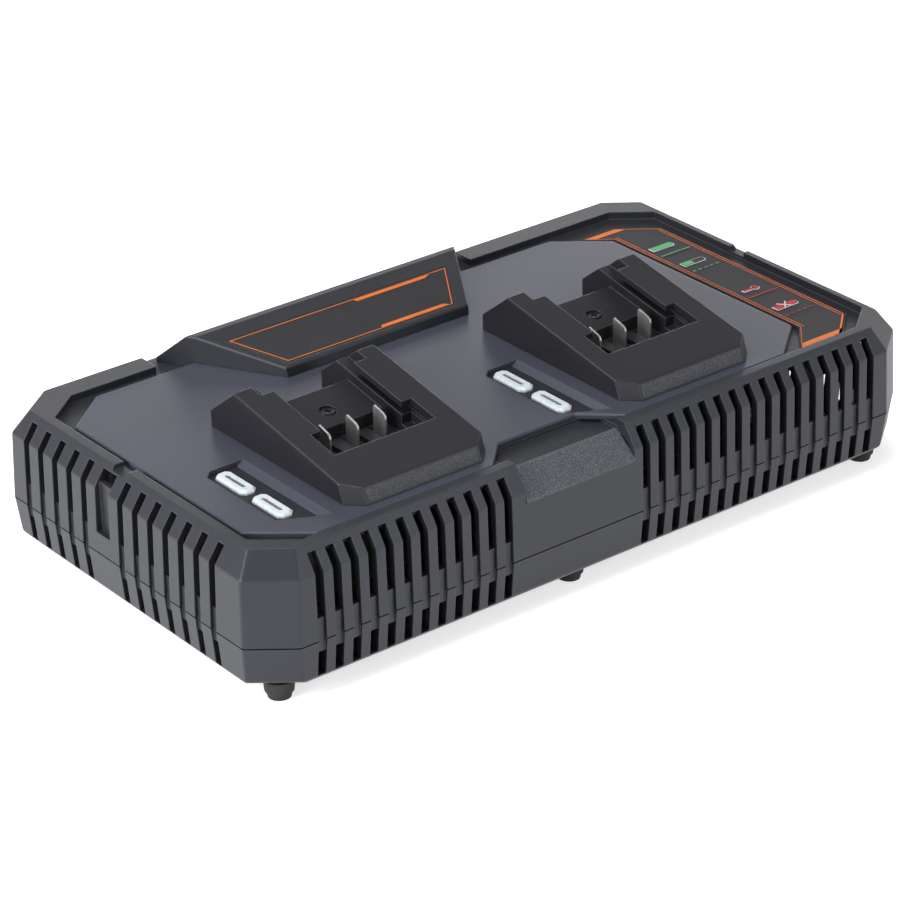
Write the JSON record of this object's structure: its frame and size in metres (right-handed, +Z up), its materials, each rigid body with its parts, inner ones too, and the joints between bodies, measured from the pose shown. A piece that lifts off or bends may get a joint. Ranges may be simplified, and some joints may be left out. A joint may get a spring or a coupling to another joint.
{
  "type": "power tool battery charger",
  "caption": "Mains charger for slide-on tool batteries: a long slotted case with sloping rail bays, a status strip and an internal cooling fan",
  "frame": {"origin": "on the floor, under the middle of the case", "axes": "X along the long side with the status strip at +X, -Y the front with the bare panel, +Z up"},
  "size_m": [0.32, 0.1772, 0.0798],
  "materials": {
    "case_plastic": "textured charcoal moulding",
    "deck_plastic": "satin grey moulding",
    "bay_plastic": "satin black moulding",
    "black_plastic": "plain black moulding",
    "contact_metal": "nickel plated",
    "window_plastic": "milky clear",
    "board_laminate": "green laminate",
    "lamp_plastic": "yellow phosphor",
    "label_film": "dark grey film with orange lines",
    "panel_plastic": "grained charcoal moulding",
    "foot_rubber": "soft black",
    "screw_steel": "zinc plated",
    "ferrite": "fired grey",
    "coil_wrap": "yellow tape",
    "capacitor_sleeve": "dark blue sleeve",
    "sink_aluminium": "milled",
    "fuse_glass": "pale ceramic",
    "rotor_plastic": "black moulding",
    "lead_sleeve": "red sleeve"
  },
  "bodies": {
    "charger": {"upper_shell": "case_plastic", "lower_shell": "case_plastic", "deck_plate": "deck_plastic", "bay_left": "bay_plastic", "bay_right": "bay_plastic", "terminal_block_left": "black_plastic", "terminal_block_right": "black_plastic", "terminal_blades_left": "contact_metal", "terminal_blades_right": "contact_metal", "status_windows_left": "window_plastic", "status_windows_right": "window_plastic", "lamp_board_left": "board_laminate", "lamp_board_right": "board_laminate", "lamps": "lamp_plastic", "badge_block": "case_plastic", "badge_label": "label_film", "status_label": "label_film", "name_panel": "panel_plastic", "feet": "foot_rubber", "case_screws": "screw_steel", "bay_screws": "screw_steel", "board_screws": "screw_steel", "main_board": "board_laminate", "transformer_core": "ferrite", "transformer_coil": "coil_wrap", "capacitors": "capacitor_sleeve", "line_choke": "ferrite", "heat_sink": "sink_aluminium", "transistors": "black_plastic", "line_fuse": "fuse_glass", "fan_frame": "black_plastic", "mains_inlet": "black_plastic", "inlet_pins": "contact_metal", "mains_leads": "lead_sleeve", "harness_left": "lead_sleeve", "harness_right": "lead_sleeve"},
    "fan": {"fan_rotor": "rotor_plastic"}
  },
  "joints": [
    {"name": "fan_spin", "type": "hinge", "parent": "charger", "child": "fan", "pos_m": [0.1335, 0, 0.03], "axis": [1, 0, 0], "continuous": true}
  ]
}
